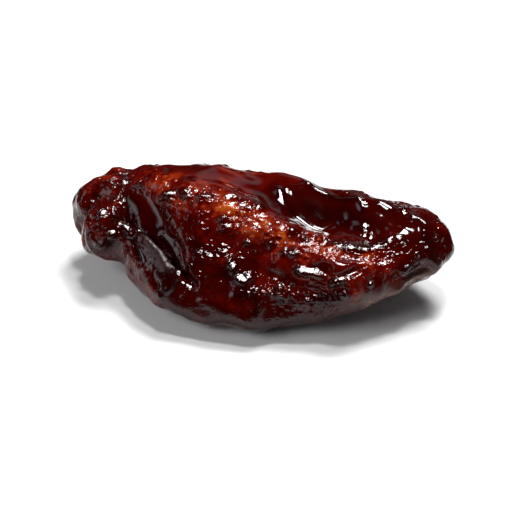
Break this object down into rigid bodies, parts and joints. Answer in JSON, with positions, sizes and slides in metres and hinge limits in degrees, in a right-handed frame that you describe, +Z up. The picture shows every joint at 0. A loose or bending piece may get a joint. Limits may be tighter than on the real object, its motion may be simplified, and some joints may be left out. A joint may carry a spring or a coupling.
{
  "type": "glazed chicken wing flat",
  "caption": "Flat middle joint of a chicken wing, cooked whole in its skin under a thick, dark, glossy barbecue sauce, lying on its belly.",
  "frame": {"origin": "under the middle of the wing's box, on the surface it lies on", "axes": "+X along the wing, from the knuckle end to the round end; +Y towards the thick back edge, along the larger bone; +Z up"},
  "size_m": [0.0918, 0.0404, 0.0261],
  "materials": {
    "glazed_skin": "wet, sticky gloss of dark red-brown sauce over browned skin"
  },
  "bodies": {
    "root": {"wing_flat": "glazed_skin"}
  },
  "joints": []
}
